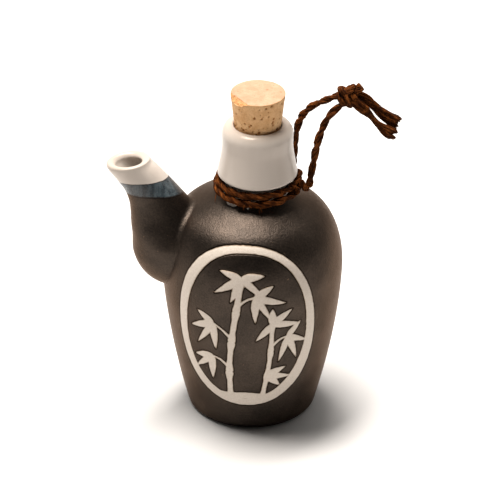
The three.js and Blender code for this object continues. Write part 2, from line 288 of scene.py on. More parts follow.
# %% Finishes
class Finish:
    """A material with one Principled shader, and the nodes that feed it"""

    def __init__(self, name, **shader):
        self.material = bpy.data.materials.new(name)
        self.material.use_nodes = True
        self.tree = self.material.node_tree
        self.shader = self.tree.nodes["Principled BSDF"]
        self.set(**shader)

    def plug(self, socket, value):
        if isinstance(value, Wire):
            self.tree.links.new(value.socket, socket)
        elif isinstance(value, tuple) and len(value) == 3 and len(socket.default_value) == 4:
            socket.default_value = (*value, 1)
        else:
            socket.default_value = value

    def set(self, **shader):
        """Sets or links the shader's sockets, whose spaces are written as underscores"""
        for name, value in shader.items():
            self.plug(self.shader.inputs[name.replace("_", " ")], value)

    def node(self, kind, sockets=None, output=0, stops=None, **settings):
        """Adds any node: its settings first, then the values or links of its sockets"""
        node = self.tree.nodes.new(kind)
        for name, value in settings.items():
            setattr(node, name, value)
        if stops:
            ramp = node.color_ramp.elements
            while len(ramp) < len(stops):
                ramp.new(0.5)
            for element, (place, colour) in zip(ramp, stops):
                element.position = place
                element.color = (*colour, 1)
        for name, value in (sockets or {}).items():
            self.plug(node.inputs[name], value)
        return Wire(self, node.outputs[output])

    def blend(self, factor, first, second):
        """One colour turning into another"""
        return self.node("ShaderNodeMix", {0: factor, 6: first, 7: second}, output=2, data_type="RGBA")

    def place(self):
        """The object coordinates in millimetres"""
        spot = self.node("ShaderNodeTexCoord", output="Object")
        return self.node("ShaderNodeVectorMath", {0: spot, "Scale": 1 / MM}, operation="SCALE")

    def noise(self, spot, size, detail=2, roughness=0.5, seed=0):
        """Noise from 0 to 1 whose spots are about size millimetres"""
        sockets = {"Vector": spot, "W": seed, "Scale": 1 / size, "Detail": detail, "Roughness": roughness}
        return self.node("ShaderNodeTexNoise", sockets, noise_dimensions="4D")

    def bump(self, height, depth, below=None):
        """A bump of depth millimetres for a height from 0 to 1"""
        sockets = {"Height": height, "Strength": 1, "Distance": depth * MM}
        if below:
            sockets["Normal"] = below
        return self.node("ShaderNodeBump", sockets)

    def axes(self, spot):
        """The x, y and z of a vector"""
        split = self.node("ShaderNodeSeparateXYZ", {0: spot})
        outputs = split.socket.node.outputs
        return [Wire(self, outputs[k]) for k in range(3)]


# %% [markdown]
# ## Palm fibre
# The twine is dark brown coir: stiff fibres that lie nearly along the twine, some lighter and some
# almost black. Every point of the twine carries a `grain` vector that says how far along it is and
# where it is round the ply. Noise that is stretched along the twine then draws the fibres, and needs
# no unwrapping.

# %% Twine finish
DARK_FIBRE = (0.004, 0.001, 0.0003)
BROWN_FIBRE = (0.054, 0.013, 0.0018)
PALE_FIBRE = (0.35, 0.108, 0.022)
fibre = Finish("palm_fibre", Roughness=0.75, Specular_IOR_Level=0.05)
grain = fibre.node("ShaderNodeAttribute", output="Vector", attribute_name="grain")
streaks = fibre.noise(grain, 0.16, detail=3, roughness=0.62)
patches = fibre.noise(fibre.place(), 2.6, seed=3)
tone = (streaks * 0.85 + patches * 0.35).rise(0.4, 0.86)
fibre_stops = [(0, DARK_FIBRE), (0.45, BROWN_FIBRE), (1, PALE_FIBRE)]
fibre.set(Base_Color=fibre.node("ShaderNodeValToRGB", {"Fac": tone}, stops=fibre_stops))
fibre.set(Normal=fibre.bump(streaks, 0.4))
print("twine finish has", len(fibre.tree.nodes), "nodes")

# %% [markdown]
# ## Two-ply twine
# A tube needs two directions across its route at every point. They turn as little as they can from
# one point to the next, because directions taken from a fixed upward one would swing round in a bend
# and wring the twine.

# %% Directions across a route
def frames_along(route, closed=False, reference=None):
    """Unit vectors along the route and two across it, turning as little as they can"""
    if closed:
        along = np.roll(route, -1, axis=0) - np.roll(route, 1, axis=0)
    else:
        along = np.gradient(route, axis=0)
    along /= np.linalg.norm(along, axis=1)[:, None]
    across = np.zeros_like(route)
    guide = np.array(reference if reference is not None else (0.3, 1, 0.2), float)
    for i, direction in enumerate(along):
        if reference is None and i:
            guide = across[i - 1]
        flat = guide - direction * (guide @ direction)
        across[i] = flat / np.linalg.norm(flat)
    return along, across, np.cross(along, across)


front_route = smooth_route([TIE_END, *FRONT_STRAND, *LOWER_TAIL], TWINE_STEP)
first_across, last_across = frames_along(front_route)[1][[0, -1]]
print("across the front end:", first_across.round(2), "at the tie and", last_across.round(2), "at the cut")

# %% [markdown]
# Two plies wind round each other, each a bundle of fibres. A plain tube with a twine texture would
# have a smooth outline, so each ply is its own tube that spirals about the route, with grooves
# between its fibres as real shape. The ply's section is a little wider round the twine than across
# it, as a slanting round rod is.

# %% Twine maker
LAY_PITCH = 14.5
PLY_RADIUS = 0.58
PLY_OFFSET = 0.42
PLY_SIDES = 26
GROOVES = 7


def spin_plies(route, radius, turns=None, phase=0.0, seed=1, closed=False, reference=None,
               fade=(1.2, 1.2)):
    """Two plies wound round a route. Returns mesh parts and the grain of their points"""
    along, across, upward = frames_along(route, closed, reference)
    run = np.concatenate([[0], np.cumsum(np.linalg.norm(np.diff(route, axis=0), axis=1))])
    turns = run[-1] / LAY_PITCH if turns is None else turns
    total = run[-1] + (np.linalg.norm(route[0] - route[-1]) if closed else 0)
    wander = soft_noise(np.stack([run, run * 0, run * 0], 1), 5.5, seed)
    lay = 2 * np.pi * turns * run / total + phase + (0 if closed else 0.5) * wander
    size = radius * (1 + 0.06 * soft_noise(np.stack([run * 0, run, run * 0], 1), 3.7, seed + 1))
    if not closed:
        size = size * np.sqrt(np.clip(np.minimum(run / fade[0], (run[-1] - run) / fade[1]), 0.02, 1))
    angle = 2 * np.pi * np.arange(PLY_SIDES) / PLY_SIDES
    parts, grains = [], []
    for ply in (0, 1):
        turned = lay + np.pi * ply
        outward = across * np.cos(turned)[:, None] + upward * np.sin(turned)[:, None]
        sideways = upward * np.cos(turned)[:, None] - across * np.sin(turned)[:, None]
        centre = route + outward * (PLY_OFFSET * size)[:, None]
        fibres = angle[None, :] + 0.45 * turned[:, None]
        ridge = 1 + 0.07 * np.cos(GROOVES * fibres + 1.5 * wander[:, None])
        ridge += 0.03 * np.cos((GROOVES - 3) * fibres - 0.7 * run[:, None])
        reach = PLY_RADIUS * size[:, None] * ridge
        rings = centre[:, None] + outward[:, None] * (np.cos(angle) * reach)[..., None]
        rings = rings + sideways[:, None] * (1.14 * np.sin(angle) * reach)[..., None]
        rag = soft_noise(rings.reshape(-1, 3), 0.55, seed + 5).reshape(reach.shape)
        rings = rings + (rings - centre[:, None]) * (0.11 * rag)[..., None]
        parts.append(skin(rings, closed))
        spot = [np.broadcast_to(run[:, None] * 0.035 + ply * 9 + seed, reach.shape)]
        spot += [np.cos(fibres) * 0.85, np.sin(fibres) * 0.85]
        grains.append(np.stack(spot, -1).reshape(-1, 3))
    return parts, grains


print("the plies go round once in", LAY_PITCH, "mm")

# %% [markdown]
# Coir sheds: single fibres stand out all along it, and many more where it is cut. Each is a thin
# four-sided tube that leaves the twine and bends over.

# %% Stray fibres
def stray_fibres(starts, directions, lengths, seed, thickness=0.085):
    """Thin bent fibres, one for each start, and their grain"""
    rng = np.random.default_rng(seed)
    parts, grains = [], []
    for start, direction, length in zip(starts, directions, lengths):
        bend = rng.uniform(-0.5, 0.5, 3) * length
        bend[2] -= 0.15 * length
        share = np.linspace(0, 1, 7)[:, None]
        route = start + direction * length * share + bend * share ** 2 * 0.6
        along, across, upward = frames_along(route)
        radius = thickness * (1 - 0.6 * share) * rng.uniform(0.7, 1.25)
        corners = [across * radius, upward * radius, -across * radius, -upward * radius]
        rings = np.stack([route + corner for corner in corners], 1)
        parts.append(skin(rings))
        shade = np.array([rng.uniform(0, 50), rng.uniform(-1, 1), rng.uniform(-1, 1)])
        grains.append(np.tile(shade, (rings.shape[0] * 4, 1)))
    return parts, grains


def shed(route, radius, count, seed, reach=(0.8, 2.3)):
    """Stray fibres that leave a stretch of twine sideways"""
    rng = np.random.default_rng(seed)
    along, across, upward = frames_along(route)
    picks = rng.integers(3, len(route) - 3, count)
    turn = rng.uniform(0, 2 * np.pi, count)[:, None]
    outward = across[picks] * np.cos(turn) + upward[picks] * np.sin(turn)
    starts = route[picks] + outward * radius * 0.7
    lean = rng.choice([-1, 1], count)[:, None] * rng.uniform(0.5, 1.6, count)[:, None]
    directions = outward * 0.75 + along[picks] * lean
    directions /= np.linalg.norm(directions, axis=1)[:, None]
    return stray_fibres(starts, directions, rng.uniform(*reach, count), seed)


# %% [markdown]
# Past the knot each end has opened into a flat brush of fibre bundles that are cut off square. The
# bundles start close together and spread towards the cut, and the lower tail has a waist halfway,
# where the two tails part.

# %% Frayed tails
def fray(route, seed, half_width, half_depth, waist):
    """A tail of loose bundles round a route, with a tuft of single fibres at its cut end"""
    rng = np.random.default_rng(seed)
    along, across, upward = frames_along(route, reference=(0, 1, 0))
    share = np.linspace(0, 1, len(route))
    squeeze = 1 - waist * (smoothstep(share, 0.32, 0.52) - smoothstep(share, 0.62, 0.88))
    spread = 0.98 - 0.22 * smoothstep(share, 0.15, 0.45) + 0.5 * smoothstep(share, 0.5, 1)
    spread = spread * squeeze
    parts, grains, tips = [], [], []
    for k in range(13):
        place = 2 * np.pi * k / 12
        ring = 0 if k == 12 else (0.78, 0.92)[k % 2]
        sway = soft_noise(np.stack([share * 4, share * 0 + k, share * 0], 1), 1, seed)
        turn = place + 1.1 * share + 0.35 * sway
        aside = ring * np.cos(turn) * half_width * spread * (1 + 0.12 * sway)
        deep = ring * np.sin(turn) * half_depth * spread
        centre = route + upward * aside[:, None] + across * deep[:, None]
        centre = centre[:len(centre) - rng.integers(0, 4)]
        size = rng.uniform(0.5, 0.8) * squeeze[:len(centre)] ** 0.7
        size *= np.sqrt(np.clip((len(centre) - 0.6 - np.arange(len(centre))) / 2.5, 0.15, 1))
        tube_parts, tube_grain = bundle(centre, size, seed * 20 + k)
        parts += tube_parts
        grains += tube_grain
        tips.append(centre[-1])
    picks = rng.integers(0, len(tips), 34)
    starts = np.array(tips)[picks] + rng.normal(0, 0.35, (34, 3)) - along[-1] * rng.uniform(0, 3, (34, 1))
    directions = along[-1] + rng.normal(0, 0.3, (34, 3))
    directions /= np.linalg.norm(directions, axis=1)[:, None]
    tuft_parts, tuft_grain = stray_fibres(starts, directions, rng.uniform(0.5, 1.5, 34), seed)
    return parts + tuft_parts, grains + tuft_grain


def bundle(route, size, seed, sides=12):
    """One bundle of fibres: a grooved tube with its own size at each point of the route"""
    along, across, upward = frames_along(route)
    run = TWINE_STEP * np.arange(len(route))
    angle = 2 * np.pi * np.arange(sides) / sides
    fibres = angle[None, :] + 0.2 * run[:, None]
    reach = size[:, None] * (1 + 0.1 * np.cos(4 * fibres + seed))
    rings = route[:, None] + across[:, None] * (np.cos(angle) * reach)[..., None]
    rings = rings + upward[:, None] * (np.sin(angle) * reach)[..., None]
    spot = [np.broadcast_to(run[:, None] * 0.035 + seed, reach.shape), np.cos(fibres), np.sin(fibres)]
    return [skin(rings)], [np.stack(spot, -1).reshape(-1, 3)]


# %% [markdown]
# Each free end is one piece: plies up to the knot, loose bundles after it. The knot hides where one
# turns into the other.

# %% Make the free ends
def free_end(name, strand, tail, tail_width, waist, nodes, seed):
    whole = smooth_route([*strand, *tail], TWINE_STEP)
    into_knot = np.linalg.norm(whole - KNOT_CENTRE, axis=1).argmin()
    parts, grains = spin_plies(whole[:into_knot + 2], TWINE_RADIUS, seed=seed, phase=seed)
    brush_parts, brush_grains = fray(whole[into_knot - 2:], seed, tail_width, 1.6, waist)
    loose_parts, loose_grains = shed(whole[:into_knot], TWINE_RADIUS, 22, seed)
    tail_parts, tail_grains = shed(whole[into_knot + 6:], tail_width, 26, seed + 3, (0.9, 1.9))
    every = parts + brush_parts + loose_parts + tail_parts
    grains = np.vstack(grains + brush_grains + loose_grains + tail_grains)
    piece = make_piece(name, every, fibre.material, {"grain": grains})
    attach(piece, "root")
    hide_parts(*nodes)
    return piece, whole


front_end, front_route = free_end(
    "twine_front_end", [TIE_END, *FRONT_STRAND], LOWER_TAIL, 1.95, 0.4,
    ["twine_strand_front", "twine_tail_lower"], 1)
back_end, back_route = free_end(
    "twine_back_end", [BACK_START, *BACK_STRAND], UPPER_TAIL, 2.15, 0.0,
    ["twine_strand_back", "twine_tail_upper"], 2)

# %% [markdown]
# ## The knot
# The ends are tied together in one tight knot. Its turns are loops of the same twine, wound round a
# core in two slanting directions, and one short cut end sticks up out of it. Tying a real knot by
# simulation would take longer and be harder to steer than placing the loops that show.

# %% One turn of twine
def hoop(centre, normal, radii, lean=0.0, seed=1, radius=1.6):
    """A closed loop of twine in the plane across normal"""
    normal = np.array(normal, float) / np.linalg.norm(normal)
    first = np.cross(normal, (0.12, 1, 0.05))
    first /= np.linalg.norm(first)
    second = np.cross(normal, first)
    angle = np.linspace(0, 2 * np.pi, 64, endpoint=False)[:, None]
    route = centre + first * np.cos(angle) * radii[0] + second * np.sin(angle) * radii[1]
    route = route + normal * lean * np.cos(2 * angle)
    return spin_plies(route, radius, turns=1, phase=seed, seed=seed, closed=True, reference=normal)


# %% [markdown]
# Each turn of the knot is given by its place from the middle, the direction its plane faces, its two
# half axes and how far it leans out of its plane.

# %% Tie the knot
knot_parts, knot_grains = [], []
for offset, normal, radii, lean, seed in [
    ((-3.0, -0.4, -1.4), (1, 0.1, 1), (2.8, 2.6), 0.3, 11),
    ((-2.3, -0.2, 1.9), (1, 0.1, 1), (2.5, 2.4), -0.2, 12),
    ((-0.5, -0.7, -0.3), (1, 0.1, 0.72), (3.2, 3.2), 0.2, 13),
    ((1.6, -0.4, 0.1), (1, 0.1, 0.66), (3.6, 2.8), -0.5, 14),
    ((-0.1, -0.2, 3.2), (0.66, -0.1, -0.75), (1.9, 2.2), 0.2, 15),
    ((1.2, 0.0, -2.6), (0.75, -0.1, -0.66), (2.2, 2.6), 0.2, 16),
]:
    parts, grains = hoop(KNOT_CENTRE + np.array(offset), normal, radii, lean, seed, 1.2)
    knot_parts += parts
    knot_grains += grains
CUT_END = [(0.2, 0, 0), (2.5, -0.5, 2.8), (4.9, -0.8, 5.4)]
KNOT_CORE = [(-3.4, 0.5, 1), (0, 0.5, 0.8), (3.2, 0.5, 0)]
cut_route = smooth_route([KNOT_CENTRE + step for step in CUT_END], TWINE_STEP)
core_route = smooth_route([KNOT_CENTRE + step for step in KNOT_CORE], TWINE_STEP)
core_size = 3.1 * np.sqrt(np.sin(np.linspace(0.25, np.pi - 0.25, len(core_route))))
for parts, grains in [
    spin_plies(cut_route, 1.9, seed=16, phase=1.6, fade=(1, 0.3)),
    shed(cut_route, TWINE_RADIUS, 6, 17, (0.8, 1.8)),
    bundle(core_route, core_size, 18, 20),
]:
    knot_parts += parts
    knot_grains += grains
knot = make_piece("twine_knot_tied", knot_parts, fibre.material, {"grain": np.vstack(knot_grains)})
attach(knot, "root")
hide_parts("twine_knot")

# %% [markdown]
# The length of each free end is measured along its route. They stand up because dry palm fibre is stiff.

for piece, route in ((front_end, front_route), (back_end, back_route)):
    path = [tuple(point * MM) for point in route[::3]] + [tuple(route[-1] * MM)]
    length_of(route) * MM
    print(piece.name, "is", round(length_of(route), 1), "mm long")

# %% [markdown]
# ## Turns round the neck
# The twine goes twice round the groove under the collar and is held by a half hitch at the right,
# from which the front end leaves. Two closed loops and a small loop across them look the same as one
# long winding, and closed loops have no ends to hide.

# %% Neck wrap
NECK_AXIS_X = 1.85
UPWARD = (0, 0, 1)
wrap_parts, wrap_grains = [], []
for radius, height, bulge, seed in ((17.45, 107.25, 0, 21), (16.45, 110.35, 1.7, 22)):
    around = np.radians(np.arange(-180, 180, 1.6))
    sag = 0.14 * np.sin(2 * around + seed) + 0.1 * np.sin(5 * around)
    slack = bulge * np.exp(-((around - 0.12) / 0.36) ** 2)
    reach = radius + slack
    circle = [NECK_AXIS_X + reach * np.cos(around), reach * np.sin(around), height + sag + 0.5 * slack]
    turn_route = np.stack(circle, 1)
    parts, grains = spin_plies(turn_route, TWINE_RADIUS, turns=7, seed=seed, closed=True, reference=UPWARD)
    wrap_parts += parts
    wrap_grains += grains
print("the turns take", sum(len(grains) for grains in wrap_grains), "points")

# %% [markdown]
# The half hitch is one small loop across the turns. The short end bends away from it to the right,
# and a few loose fibres hang over the shoulder.

# %% Half hitch and loose fibres
HITCH_TURN = math.radians(-27)
hitch_out = np.array([math.cos(HITCH_TURN), math.sin(HITCH_TURN), 0])
hitch_along = np.array([-hitch_out[1], hitch_out[0], 0.25])
hitch_centre = np.array([NECK_AXIS_X, 0, 108.6]) + hitch_out * 16.9
STUB = [(19.6, -5.6, 112.4), (20.6, -5.4, 111), (20.8, -4.8, 109.4), (21.8, -3.6, 107.8), TIE_END]
stub_route = smooth_route(STUB, TWINE_STEP)
FRONT_TURN = [(-14.5, -7, 107), (-8, -14.5, 107), (2, -17.4, 107), (12, -14, 107)]
LOOSE_FIBRES = (
    np.array([(-15.4, -6.6, 106.6), (2.6, -18.4, 106.6), (2.9, -18.6, 106.4), (-3.5, -18.6, 107.4)]),
    np.array([(-0.35, -0.35, -0.87), (0.25, -0.45, -0.86), (0.55, -0.4, -0.73), (-0.5, -0.6, -0.6)]),
    np.array([3.4, 3.6, 2.6, 1.8]),
)
for parts, grains in [
    hoop(hitch_centre, hitch_along, (1.7, 3.2), seed=23, radius=1.1),
    spin_plies(stub_route, TWINE_RADIUS, seed=24, fade=(1.5, 0.5)),
    shed(stub_route, TWINE_RADIUS, 8, 25),
    shed(smooth_route(FRONT_TURN, 0.5), TWINE_RADIUS, 26, 26),
    stray_fibres(*LOOSE_FIBRES, seed=27, thickness=0.26),
]:
    wrap_parts += parts
    wrap_grains += grains
wrap = make_piece("twine_neck_turns", wrap_parts, fibre.material, {"grain": np.vstack(wrap_grains)})
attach(wrap, "root")
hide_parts("twine_neck_wrap")

# %% [markdown]
# ## The bottle's outline
# A bottle is thrown on a wheel, so its body is one outline turned round an axis. The belly falls
# away below as a power of the height and closes above as a flattened superellipse. The neck leans a
# little off the axis, away from the spout.

# %% Outline of the bottle
BELLY_RADIUS, BELLY_HEIGHT = 39, 70
TAPER_DEPTH, TAPER_DROP, TAPER_POWER = 4.6, 40, 1.66
SHOULDER_RISE, SHOULDER_FALL, SHOULDER_ROUND, SHOULDER_END = 30.9, 1.88, 1 / 4.43, 97.5


def body_radius(height):
    height = np.asarray(height, float)
    below = BELLY_RADIUS - TAPER_DEPTH * (np.maximum(BELLY_HEIGHT - height, 0) / TAPER_DROP) ** TAPER_POWER
    share = np.clip((height - BELLY_HEIGHT) / SHOULDER_RISE, 0, 0.999)
    above = BELLY_RADIUS * (1 - share ** SHOULDER_FALL) ** SHOULDER_ROUND
    return np.where(height < BELLY_HEIGHT, below, above)


def arc(centre, radii, start, end, count=24):
    turn = np.radians(np.linspace(start, end, count))
    return np.stack([centre[0] + radii[0] * np.cos(turn), centre[1] + radii[1] * np.sin(turn)], 1)


def evenly(points, spacing):
    """The same line with points at even distances"""
    points = np.array(points, float)
    run = np.concatenate([[0], np.cumsum(np.linalg.norm(np.diff(points, axis=0), axis=1))])
    even = np.linspace(0, run[-1], max(2, round(run[-1] / spacing) + 1))
    return np.stack([np.interp(even, run, column) for column in points.T], 1)


def wall_line(low, high, inward=0.0):
    heights = np.linspace(low, high, 400)
    return np.stack([body_radius(heights) - inward, heights], 1)


print("the foot is", round(2 * float(body_radius(0)), 1), "mm across before its edge is rounded")

# %% [markdown]
# The whole section is one line that goes up the outside, from the shallow hollow in the foot to the
# mouth, and a second line bounds the inside. The points are closest where the line bends most.

# %% Points of the outline
WALL, FLOOR, BORE_RADIUS = 3.5, 5, 9.8
LOW_CORNER = 6
t = np.linspace(0, 1, 80)[:, None]
flare = [(float(body_radius(SHOULDER_END)), SHOULDER_END), (19, 102.1), (14.6, 103.5), (14.2, 111)]
flare = sum(weight * np.array(point) for weight, point in
            zip(((1 - t) ** 3, 3 * (1 - t) ** 2 * t, 3 * (1 - t) * t ** 2, t ** 3), flare))
collar_heights = np.linspace(114.2, 127, 40)
collar = np.stack([15.1 + 2 * ((127 - collar_heights) / 12.8) ** 1.35, collar_heights], 1)
collar_rim = [(14.2, 111), (14.5, 112.2), (15.4, 112.8), (16.4, 113.2), (17, 113.7)]
foot = [(0.4, 1.1), (19.4, 1.1), (20.4, 0.9), (21.1, 0.35), (22, 0.05), (24.9, 0)]
lip = arc((11.1, 132.3), (4.1, 4.7), 0, 90)
outline = np.vstack([
    evenly(foot, 1.6)[:-1],
    evenly(np.vstack([arc((24.9, 3.3), (3.3, 3.3), -90, -4), wall_line(3.6, 14)]), 0.9)[:-1],
    evenly(wall_line(14, SHOULDER_END), 0.62)[:-1],
    evenly(flare, 0.7)[:-1],
    evenly(np.vstack([collar_rim, collar]), 0.5),
    evenly(np.vstack([[(15.1, 127.4)], lip]), 0.5),
    [(6, 137), (0.4, 137)],
])
corner = (float(body_radius(FLOOR + LOW_CORNER)) - WALL - LOW_CORNER, FLOOR + LOW_CORNER)
low_corner = arc(corner, (LOW_CORNER, LOW_CORNER), -90, 0)
dome_end = math.degrees(math.acos(BORE_RADIUS / (BELLY_RADIUS - WALL)))
hollow = np.vstack([
    [(0.4, FLOOR)],
    evenly(np.vstack([low_corner, wall_line(11.2, BELLY_HEIGHT, WALL)]), 1.6),
    arc((0, BELLY_HEIGHT), (BELLY_RADIUS - WALL, 33.5), 1, dome_end, 30),
    [(BORE_RADIUS, 104), (BORE_RADIUS, 112), (BORE_RADIUS, 121), (10.2, 123), (10.2, 130), (10.2, 135.6)],
    arc((11.1, 136.1), (0.9, 0.9), 180, 90, 8),
    [(11.1, 139), (0.4, 139)],
])
print(len(outline), "points outside and", len(hollow), "inside")

# %% [markdown]
# The painted front needs small faces, because a brush stroke's edge is drawn by its points. The back
# doesn't, so the columns of points stand close together in front and further apart behind.

# %% Turn the bottle
FRONT_HALF = 62


def columns(front_step, side_step):
    front = np.arange(-FRONT_HALF, FRONT_HALF, front_step)
    behind = np.arange(FRONT_HALF, 360 - FRONT_HALF, side_step)
    return np.radians(np.concatenate([front, behind]))


def turn_on_wheel(line, azimuths):
    """Rings round the leaning axis. Azimuth 0 is the front and 90 degrees is away from the spout"""
    radius, height = line[:, 0, None], line[:, 1, None]
    shift = NECK_AXIS_X * smoothstep(height, 94, 107)
    wobble = 0.12 * np.sin(2 * azimuths + 0.045 * height) + 0.07 * np.sin(3 * azimuths - 0.08 * height)
    radius = radius + wobble * np.clip(radius / 30, 0, 1) * smoothstep(height, 3, 20)
    x = shift + radius * np.sin(azimuths)
    y = -radius * np.cos(azimuths)
    return np.stack([x, y, np.broadcast_to(height, x.shape)], -1)


def plain_object(name, points, faces):
    mesh = bpy.data.meshes.new(name)
    mesh.from_pydata((points * MM).tolist(), [], faces)
    solid = bpy.data.objects.new(name, mesh)
    bpy.context.scene.collection.objects.link(solid)
    return solid


def carve(base, other, operation):
    """Joins another solid to the base, or cuts it out, and removes the other"""
    modifier = base.modifiers.new("carve", "BOOLEAN")
    modifier.object, modifier.operation, modifier.solver = other, operation, "MANIFOLD"
    shaped = base.evaluated_get(bpy.context.evaluated_depsgraph_get())
    mesh = bpy.data.meshes.new_from_object(shaped)
    base.modifiers.clear()
    base.data = mesh
    bpy.data.objects.remove(other)


body_rings = turn_on_wheel(outline, columns(0.9, 2))
bottle = plain_object("bottle_glazed", *skin(body_rings))
inside = plain_object("inside", *skin(turn_on_wheel(hollow, np.radians(np.arange(0, 360, 3)))))
print("the turned body has", len(bottle.data.polygons), "faces")

# %% [markdown]
# ## The spout
# The spout swells out of the shoulder as a bulb and narrows to a tube. Potters throw such a spout on
# its own and bend it. Its sections are ellipses, each given by its heel (the far side), its throat
# (the side towards the neck) and its half width, which follows a bent and tapered tube more closely
# than a curve with a round bevel.

# %% Sections of the spout
BULB_CENTRE, BULB_RADII = (-33.7, 0, 80), (18.3, 18.8, 20.3)
TUBE = [
    (-51.8, 83, -16, 82, 18.4), (-52.3, 88.5, -21.5, 91, 15.7), (-52.5, 94, -27.3, 99.3, 12.3),
    (-53.2, 99.9, -35.2, 109.3, 9.8), (-55.4, 105.8, -40.9, 116, 8.9), (-59, 110.9, -43.1, 118.2, 8.6),
    (-61.9, 114.8, -43.7, 119.1, 8.4), (-62.6, 116.2, -43.9, 119.5, 8.3),
]
SPOUT_WALL = 3.4
PLUG_SLACK, PLUG_TOP = 0.06, 104
SPOUT_SIDES = 110
LIP_INSIDE = np.array([-58.5, 115.9, -47.3, 118, 4.9])
LIP_UP = np.array([-0.174, 0, 0.985])


def station_ring(station):
    """An elliptical section of the spout, anticlockwise from above, starting at the heel"""
    heel_x, heel_z, throat_x, throat_z, half = station
    turn = 2 * np.pi * np.arange(SPOUT_SIDES) / SPOUT_SIDES
    centre = np.array([heel_x + throat_x, 0, heel_z + throat_z]) / 2
    first = np.array([heel_x, 0, heel_z]) - centre
    return centre + np.cos(turn)[:, None] * first - np.sin(turn)[:, None] * np.array([0, half, 0])


def narrowed(station, wall):
    heel, throat = np.array(station[0:2]), np.array(station[2:4])
    step = (throat - heel) / np.linalg.norm(throat - heel) * wall
    return np.array([*(heel + step), *(throat - step), station[4] - wall])


def ellipsoid_stations(radii, low, high, count):
    turn = np.radians(np.linspace(low, high, count))
    x, z = BULB_CENTRE[0], BULB_CENTRE[2]
    reach, height = np.cos(turn), z + radii[2] * np.sin(turn)
    return np.stack([x - radii[0] * reach, height, x + radii[0] * reach, height, radii[1] * reach], 1)


print("the spout's bulb is", 2 * BULB_RADII[1], "mm wide and its mouth", 2 * TUBE[-1][4], "mm")

# %% [markdown]
# The sections run up the outside, over the thick lip and down the bore, as one skin, so that the lip
# stays perfectly round. Joining the spout to the body and cutting out the three hollows are Boolean
# operations, as on the solid frame.

# %% Join the spout and hollow the bottle
outer_stations = smooth_route(np.vstack([ellipsoid_stations(BULB_RADII, -88, -10, 14), TUBE]), 0.8)
outer_rings = np.stack([station_ring(station) for station in outer_stations])
lip_inner = station_ring(LIP_INSIDE)
turn = 2 * np.pi * np.arange(SPOUT_SIDES) / SPOUT_SIDES
lip_height = (1.35 + 0.5 * np.cos(turn))[:, None] * LIP_UP
lip_rings = np.stack([
    outer_rings[-1] + (lip_inner - outer_rings[-1]) * (1 - math.cos(a)) / 2 + lip_height * math.sin(a)
    for a in np.radians(np.arange(14, 180, 13))])
bore_stations = [LIP_INSIDE] + [narrowed(station, SPOUT_WALL) for station in TUBE[-3::-1]]
bore_stations = smooth_route(bore_stations, 1.6)
bore_rings = np.stack([station_ring(station) for station in bore_stations])
cup = plain_object("spout", *skin(np.concatenate([outer_rings, lip_rings, bore_rings])))
plug_stations = [narrowed(station, PLUG_SLACK) for station in bore_stations[::-1] if station[1] < PLUG_TOP]
plug = plain_object("plug", *skin(np.stack([station_ring(station) for station in plug_stations])))
bulb_radii = np.array(BULB_RADII) - WALL
bulb_stations = ellipsoid_stations(bulb_radii, -88, 88, 40)
bulb_hollow = plain_object("bulb_hollow", *skin(np.stack([station_ring(s) for s in bulb_stations])))
carve(bottle, cup, "UNION")
for empty in (inside, plug, bulb_hollow):
    carve(bottle, empty, "DIFFERENCE")
print("the bottle has", len(bottle.data.vertices), "points and", len(bottle.data.polygons), "faces")

# %% [markdown]
# Where the spout was luted on, the potter wiped a little slip into the angle, and the glaze pooled
# in it. That leaves a narrow concave groove. It is made as a strip along the seam, whose section is a
# curve that starts flat on the body and ends flat on the spout. Rounding the edge after joining the
# solids would need thousands of extra faces.

# %% Find the seam
body_tree = BVHTree.FromPolygons(body_rings.reshape(-1, 3).tolist(), skin(body_rings)[1])
spout_tree = BVHTree.FromPolygons(outer_rings.reshape(-1, 3).tolist(), skin(outer_rings)[1])


def depth_in_body(point):
    spot, normal, index, gap = body_tree.find_nearest(Vector(point))
    return gap if (Vector(point) - spot).dot(normal) > 0 else -gap


def laid_on(tree, point):
    """The nearest point of a surface, a hair below it, and the outward normal there"""
    spot, normal, index, gap = tree.find_nearest(Vector(point))
    return np.array(spot - normal * 0.04), np.array(normal)


seam = []
for column in range(SPOUT_SIDES):
    line = outer_rings[:, column]
    depths = [depth_in_body(point) for point in line]
    row = max(k for k in range(len(line)) if depths[k] < 0)
    share = depths[row] / (depths[row] - depths[row + 1])
    seam.append(line[row] + (line[row + 1] - line[row]) * share)
seam = np.array(seam)
for k in range(3):
    seam = (np.roll(seam, 1, axis=0) + 2 * seam + np.roll(seam, -1, axis=0)) / 4
print("the seam is", round(length_of(seam)), "mm round, from", seam[:, 2].min().round(1), "to",
      seam[:, 2].max().round(1), "mm up")

# %% [markdown]
# Across the seam, each row of the strip is a quadratic curve. Its two ends lie on body and spout, and
# the seam itself pulls its middle in, so the groove is widest at the top, where the angle is
# sharpest.

